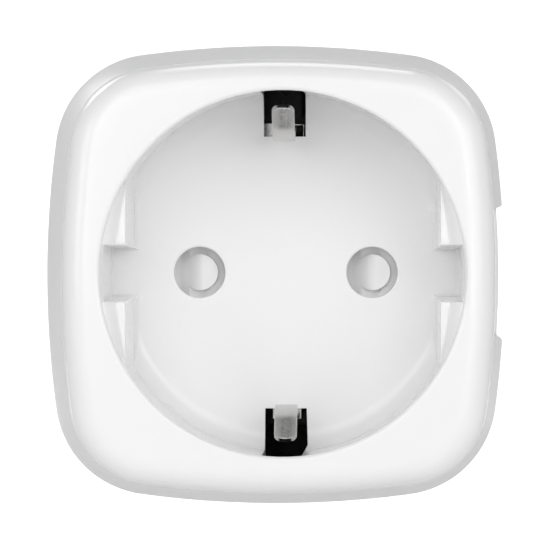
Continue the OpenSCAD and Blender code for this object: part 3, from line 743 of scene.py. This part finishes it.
# ---------------------------------------------------------------- shutter
def pad_level(u):
    """Depth of the pad, u mm right of the hole's centre: flat on the right, falling away on the left."""
    k = min(1.0, max(0.0, (0.45 - u) / 2.9))
    return 18.98 + 1.9 * k * k * (3 - 2 * k)


def ramp_level(u):
    """Depth of the ramp across the whole channel, which the pad grows out of."""
    a, b, r = pad_level(u), 20.15, 0.25
    h = max(0.0, r - abs(a - b)) / r
    return max(a, b) + 0.25 * r * h * h


def pad(s):
    """Round pad that grows out of the ramp on its left and stands clear of it on its right."""
    cx, r, base = s * 9.5, 2.04, 21.75
    n, m = 128, 30
    ang = np.linspace(0, 2 * math.pi, n, endpoint=False)
    rows = []
    for i in range(1, m + 1):
        rr = r * i / m
        x, z = rr * np.cos(ang), rr * np.sin(ang)
        edge = 0.0 if r - rr > 0.14 else 0.14 - math.sqrt(max(0.14 ** 2 - (0.14 - (r - rr)) ** 2, 0))
        rows.append(np.c_[cx + x, [Y(min(21.6, pad_level(u) + edge + 0.012)) for u in x], z])
    x, z = r * np.cos(ang), r * np.sin(ang)
    rows.append(np.c_[cx + x, np.full(n, Y(base)), z])
    return shell("pad", rows)


def ramp(s):
    us = np.linspace(-3.0, 0.95, 60)
    prof = [(s * 9.5 + u, ramp_level(u)) for u in us] + [(s * 9.5 + 0.95, 21.8), (s * 9.5 - 3.0, 21.8)]
    rows = [np.array([(x, Y(t), z) for x, t in prof]) for z in (-2.82, 2.82)]
    return shell("ramp", rows)


def build_shutter():
    t0, t1 = 20.4, 22.2
    ob = prism_t("shutter_slide", rrect(31.3, 12.8, 0.8) + np.array([-2.75, 0]), t0, t1)
    for s in (-1, 1):
        boolean(ob, turned("hole", [(2.75, t0 - 1), (2.75, t0), (2.6, t0 + 0.2), (2.6, t1 + 1)], s * 9.5 - 5.6, 0, 96))
    boolean(ob, box_t("pocket", -1, 9.8, t0 - 1, t1 + 1, 3.1, 5.6))
    for s in (-1, 1):
        x = s * 9.5
        boolean(ob, box_t("trough", x - 2.97, x + 0.9, t0 - 1, 21.7, -2.8, 2.8))
        boolean(ob, ramp(s), op="UNION")
        step = [(x + 0.50, 2.78), (x + 0.93, 2.02), (x + 0.93, -2.02), (x + 0.50, -2.78), (x + 2.8, -2.78), (x + 2.8, 2.78)]
        boolean(ob, prism_t("step", step, 19.66, t0 + 0.9), op="UNION")
        boolean(ob, pad(s), op="UNION")
    return ob


shutter = finish_mesh(build_shutter(), 34)
place(shutter, "shutter", ["shutter"], "shutter_white")


# ---------------------------------------------------------------- bent strips
def smooth_path(pts, n):
    """Resample a polyline with rounded corners: a Catmull-Rom curve through the points."""
    p = np.asarray(pts, float)
    p = np.vstack([2 * p[0] - p[1], p, 2 * p[-1] - p[-2]])
    out = []
    for i in range(1, len(p) - 2):
        for k in range(12):
            u = k / 12
            a, b, c, d = p[i - 1], p[i], p[i + 1], p[i + 2]
            out.append(0.5 * ((2 * b) + (c - a) * u + (2 * a - 5 * b + 4 * c - d) * u * u + (3 * b - a - 3 * c + d) * u ** 3))
    out.append(p[-2])
    out = np.array(out)
    s = np.r_[0, np.cumsum(np.hypot(*np.diff(out, axis=0).T))]
    q = np.linspace(0, s[-1], n)
    return np.c_[np.interp(q, s, out[:, 0]), np.interp(q, s, out[:, 1])], q


def strip(name, path, width, thick, x0=0.0, sz=1, corner=0.9, n=110, edge=0.13, sides=5):
    """A strip bent in the depth-height plane. The free end, at the path's start, has rounded corners."""
    c, s = smooth_path(path, n)
    s_end = np.array([0.0, 0.03, 0.08, 0.15, 0.25, 0.4, 0.6])
    c0 = np.c_[np.interp(s_end, s, c[:, 0]), np.interp(s_end, s, c[:, 1])]
    keep = s > 0.7
    c, s = np.vstack([c0, c[keep]]), np.r_[s_end, s[keep]]
    tan = np.gradient(c, axis=0)
    tan /= np.hypot(*tan.T)[:, None]
    nor = np.c_[-tan[:, 1], tan[:, 0]]
    rows = []
    for i in range(len(c)):
        q = max(0.0, corner - s[i])
        hw = width / 2 - corner + math.sqrt(max(corner ** 2 - q * q, 0)) if s[i] < corner else width / 2
        hw = max(hw, 0.3)
        ht = thick / 2 if s[i] > 0.15 else thick / 2 - (0.1 - math.sqrt(max(0.01 - (0.1 - min(s[i], 0.1)) ** 2, 0)))
        e = min(edge, ht * 0.8, hw * 0.8)
        sect = rrect(2 * hw, 2 * ht, e, sides)
        row = []
        for a, b in sect:
            t, z = c[i] + nor[i] * b
            row.append((x0 + a, Y(t), sz * z))
        rows.append(np.array(row))
    return shell(name, rows)


CLIP_PATH = [(5.05, 18.12), (5.7, 17.62), (6.9, 16.55), (7.9, 15.78), (9.0, 15.14), (10.0, 14.74), (10.7, 14.66), (11.4, 14.86), (12.8, 15.25),
             (15, 15.6), (19, 15.82), (24.0, 15.9)]
for sz, node, body, x0 in ((1, "earth_clip_top", "clip_top", -0.06), (-1, "earth_clip_bottom", "clip_bottom", 0.2)):
    clip = strip("clip_spring_" + ("upper" if sz > 0 else "lower"), CLIP_PATH, 2.46, 0.56, x0, sz)
    finish_mesh(clip, 40)
    place(clip, body, [node], "nickel_plate")


# ---------------------------------------------------------------- earth strap
def build_strap():
    t0, t1 = 24.2, 25.0
    ob = prism_t("earth_strap_plate", [(-1.6, -16.3), (1.6, -16.3), (1.6, 16.3), (-1.6, 16.3)], t0, t1)
    boolean(ob, prism_t("ear", box_pts(-2.6, -0.5, 14.2, 16.5), t0, t1 - 0.0), op="UNION")
    ear = prism_t("ear", box_pts(0.5, 1.94, 14.2, 16.44), t0, t1)
    boolean(ob, ear, op="UNION")
    boolean(ob, box_t("window", 0.92, 1.78, t0 - 1, t1 + 1, 14.4, 16.26))
    boolean(ob, box_t("riser_slot", -1.3, 1.3, t0 - 1, t1 + 1, -0.45, 0.45))
    return ob


strap = finish_mesh(build_strap(), 30, 0.05, 2)
place(strap, "root", ["earth_strap"], "nickel_plate")


# ---------------------------------------------------------------- plug pins, rear contacts, screws
for s, node in ((1, "live_pin"), (-1, "neutral_pin")):
    prof = [(2.0, 49.5), (2.0, 54.9), (3.3, 54.9), (3.3, 56.45), (2.15, 56.45), (2.15, 59.55), (2.36, 59.55), (2.4, 59.6), (2.4, 62), (2.4, 66), (2.4, 70), (2.4, 74), (2.4, 76.6)]
    for i in range(1, 13):
        a = math.radians(90 * i / 12)
        prof.append((2.4 - 1.55 * (1 - math.cos(a)) - 0.25 * i / 12, 76.6 + 1.9 * math.sin(a)))
    prof += [(0.3, 78.5)]
    prof = [(r, min(t, 78.5)) for r, t in prof]
    p = finish_mesh(turned("plug_pin_" + ("live" if s > 0 else "neutral"), prof, s * 9.5, 0, 96), 35)
    place(p, "root", [node], "nickel_plate")

for s, node in ((1, "plug_earth_contact_top"), (-1, "plug_earth_contact_bottom")):
    lo, hi = (16.92, 17.8)
    path = rrect(5.4, 15.3, 0.7)
    rows = []
    for z, k in ((lo, 1.0), (hi - 0.25, 1.0), (hi - 0.1, 0.995), (hi - 0.02, 0.975), (hi, 0.94)):
        rows.append(np.c_[path[:, 0] * k, Y(51.25 + path[:, 1] * (1 - (1 - k) * 0.35)), np.full(len(path), s * z)])
    c = shell("side_contact", rows)
    leg = box_t("leg", -2.5, 2.5, 50.25, 51.05, 13.6 if s > 0 else -17.2, 17.2 if s > 0 else -13.6)
    boolean(c, leg, op="UNION")
    c.name = "side_contact_" + ("upper" if s > 0 else "lower")
    finish_mesh(c, 35)
    place(c, "root", [node], "nickel_plate")


def screw(x, z):
    th = 40.15                             # underside of the head
    prof = [(0.4, th - 13), (1.0, th - 12.2)]
    t = th - 12.0
    while t < th - 1.0:
        prof += [(1.0, t), (1.28, t + 0.35), (1.0, t + 0.7)]
        t += 0.95
    prof += [(1.28, th - 0.3), (1.3, th + 0.0), (2.6, th + 0.0), (2.7, th + 0.1), (2.7, th + 0.9)]
    for i in range(1, 9):
        a = math.radians(90 * i / 8)
        prof.append((2.7 * math.cos(a * 0.985), th + 0.9 + 0.7 * math.sin(a)))
    ob = turned("screw", prof, x, z, 64)
    for a in (0, math.pi / 2):
        w, l = 0.34, 1.5
        top = np.array([(-l, -w), (l, -w), (l, w), (-l, w)])
        low = top * np.array([0.35, 0.5])
        rot = np.array([[math.cos(a), -math.sin(a)], [math.sin(a), math.cos(a)]])
        rows = [ring(top @ rot.T + (x, z), th + 2.0), ring(top @ rot.T + (x, z), th + 1.5), ring(low @ rot.T + (x, z), th + 0.5)]
        boolean(ob, shell("cross", rows))
    return ob


screws = join("case_screws", [screw(14, 14.7), screw(-16, -15.2)])
finish_mesh(screws, 30)
place(screws, "root", ["housing_screws"], "steel_screw")


# ---------------------------------------------------------------- side button and light pipe
def build_button():
    h, w, r = 9.6, 12.0, 0.9
    face = rrect(w, h, r, 10)
    xf = RX - 0.1
    rows = []
    def at(x, k, dx=0):
        return np.c_[np.full(len(face), x), Y(26.7 + face[:, 1] * k), face[:, 0] * k]
    rows = [at(20.1, 1.0), at(xf - 0.45, 1.0)]
    for i in range(1, 9):
        a = math.radians(90 * i / 8)
        k = 0.45 * (1 - math.cos(a))
        rows.append(np.c_[np.full(len(face), xf - 0.45 + 0.45 * math.sin(a)), Y(26.7 + face[:, 1] * (1 - k / 4.8)), face[:, 0] * (1 - k / 6)])
    # shallow finger dish
    for f, dip in ((0.82, 0.02), (0.7, 0.08), (0.5, 0.16), (0.3, 0.20), (0.12, 0.215)):
        rows.append(np.c_[np.full(len(face), xf - dip), Y(26.7 + face[:, 1] * f), face[:, 0] * f])
    ob = shell("side_key", rows)
    fl = rrect(14.0, 11.8, 0.6)
    rows = [np.c_[np.full(len(fl), x), Y(26.7 + fl[:, 1]), fl[:, 0]] for x in (20.1, 21.1)]
    boolean(ob, shell("flange", rows), op="UNION")
    boolean(ob, turned_x("stem", [(1.5, 19.75), (1.5, 20.6)], 27.5, 0), op="UNION")
    boolean(ob, turned_x("hole", [(0.95, 19.0), (0.95, xf - 0.3), (0.98, xf - 0.12), (1.1, xf + 0.2)], 27.5, 4.9))
    return ob


button = finish_mesh(build_button(), 32)
place(button, "button", ["side_button"], "button_white")
xf = RX - 0.1
pipe = turned_x("key_light_pipe", [(0.9, 20.2), (0.9, xf - 0.16), (0.84, xf - 0.07), (0.7, xf - 0.02), (0.4, xf)], 27.5, 4.9)
finish_mesh(pipe, 35)
place(pipe, "button", ["button_light_pipe"], "light_pipe")

# ---------------------------------------------------------------- camera
T = Vector((-0.81, -59.5, -0.16)) * MM
A, E, DIST = math.radians(1.26), math.radians(0.41), 0.833
d = Vector((math.sin(A) * math.cos(E), -math.cos(A) * math.cos(E), math.sin(E)))
cam_data = bpy.data.cameras.new("camera")
cam = bpy.data.objects.new("camera", cam_data)
bpy.context.scene.collection.objects.link(cam)
cam.location = T + d * DIST
cam.rotation_euler = (-d).to_track_quat("-Z", "Y").to_euler()
cam_data.sensor_width, cam_data.lens, cam_data.sensor_fit = 36.0, 505.4, "HORIZONTAL"
cam_data.clip_start, cam_data.clip_end = 0.01, 20
bpy.context.scene.camera = cam

# ---------------------------------------------------------------- floor and backdrop
WALL_GLOW, STAGE_GLOW = 0.95, 0.11


def backdrop():
    """A round white studio: flat floor, swept up into a wall well outside every camera's place."""
    prof = [(0.0005, -0.06), (0.4, -0.06), (0.9, -0.06), (1.3, -0.06)]
    for i in range(1, 13):
        a = math.radians(90 * i / 12)
        prof.append((1.3 + 0.4 * math.sin(a), -0.06 + 0.4 * (1 - math.cos(a))))
    prof.append((1.7, 1.5))
    n = 144
    ang = np.linspace(0, 2 * math.pi, n, endpoint=False)
    rows = [np.c_[r * np.cos(ang), r * np.sin(ang) - 0.05, np.full(n, z)] / MM for r, z in prof]
    verts, faces = tube(rows)
    faces = [tuple(reversed(f)) for f in faces] + [tuple(range(n))]
    me = bpy.data.meshes.new("pale_floor")
    me.from_pydata([tuple(float(c) * MM for c in v) for v in verts], [], faces)
    me.validate()
    me.shade_smooth()
    ob = bpy.data.objects.new("pale_floor", me)
    bpy.context.scene.collection.objects.link(ob)
    m, nt, b, co = _tree("pale_floor")
    n = _noise(nt, co, 40, 3.0)
    nt.links.new(_mix(nt, _range(nt, n, 0.0, 1.0), (0.80, 0.80, 0.80), (0.82, 0.82, 0.82)), b.inputs["Base Color"])
    b.inputs["Roughness"].default_value = 0.9
    b.inputs["Specular IOR Level"].default_value = 0.1
    # a soft even glow, and a brighter patch on the sweep behind the object
    sep = nt.nodes.new("ShaderNodeSeparateXYZ")
    nt.links.new(co, sep.inputs[0])

    def times(u, v):
        k = nt.nodes.new("ShaderNodeMath")
        k.operation = "MULTIPLY"
        nt.links.new(u, k.inputs[0])
        if isinstance(v, float):
            k.inputs[1].default_value = v
        else:
            nt.links.new(v, k.inputs[1])
        return k.outputs[0]

    far = _range(nt, sep.outputs["Y"], 0.0, 1.0, 0.30, 0.60)
    left = _range(nt, sep.outputs["X"], 0.0, 1.0, -0.45, -0.15)
    right = _range(nt, sep.outputs["X"], 1.0, 0.0, 0.09, 0.40)
    high = _range(nt, sep.outputs["Z"], 1.0, 0.0, 0.10, 0.40)
    patch = times(times(times(far, left), times(right, high)), WALL_GLOW)
    patch.node.name = "wall_glow"
    glow = nt.nodes.new("ShaderNodeMath")
    glow.operation, glow.name = "ADD", "stage_glow"
    nt.links.new(patch, glow.inputs[0])
    glow.inputs[1].default_value = STAGE_GLOW
    b.inputs["Emission Color"].default_value = (1, 1, 1, 1)
    nt.links.new(glow.outputs[0], b.inputs["Emission Strength"])
    ob.data.materials.append(m)
    ob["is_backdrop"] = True
    return ob


backdrop()

# ---------------------------------------------------------------- light
def area(name, loc, target, size_x, size_y, power, spread=180):
    l = bpy.data.lights.new(name, "AREA")
    l.shape, l.size, l.size_y, l.energy = "RECTANGLE", size_x, size_y, power
    l.spread = math.radians(spread)
    o = bpy.data.objects.new(name, l)
    bpy.context.scene.collection.objects.link(o)
    o.location = loc
    o.rotation_euler = (Vector(target) - Vector(loc)).to_track_quat("-Z", "Y").to_euler()
    return o


def softbox(name, az, el, power):
    """A soft light one metre from the object, at az degrees round to the right and el degrees up."""
    az, el = math.radians(az), math.radians(el)
    v = Vector((math.sin(az) * math.cos(el), -math.cos(az) * math.cos(el), math.sin(el)))
    at = Vector((0, -0.05, 0))
    o = area(name, at + v, at, 0.3 if el > 0.8 else 0.42, 0.4, power)
    o.visible_camera = False
    return o


softbox("front_left", -15, 10, 1.07)
softbox("front_right", 15, 10, 0.78)
softbox("upper_left", -15, 35, 0.76)
softbox("upper_right", 15, 35, 0.79)
softbox("right_of_camera", 28, 8, 0.82)
softbox("side_left", -50, 10, 0.92)
softbox("side_right", 50, 10, 0.68)
softbox("rear_top", 180, 70, 1.15)
softbox("rear_left", -140, 35, 1.60)
softbox("rear_right", 140, 35, 0.70)

world = bpy.data.worlds.new("studio")
bpy.context.scene.world = world
world.use_nodes = True
bg = world.node_tree.nodes["Background"]
bg.inputs[0].default_value = (1, 1, 1, 1)
bg.inputs[1].default_value = 0.13
bpy.context.scene.view_settings.view_transform = "Standard"
bpy.context.scene.view_settings.look = "None"

# ---------------------------------------------------------------- sizes
lo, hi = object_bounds()
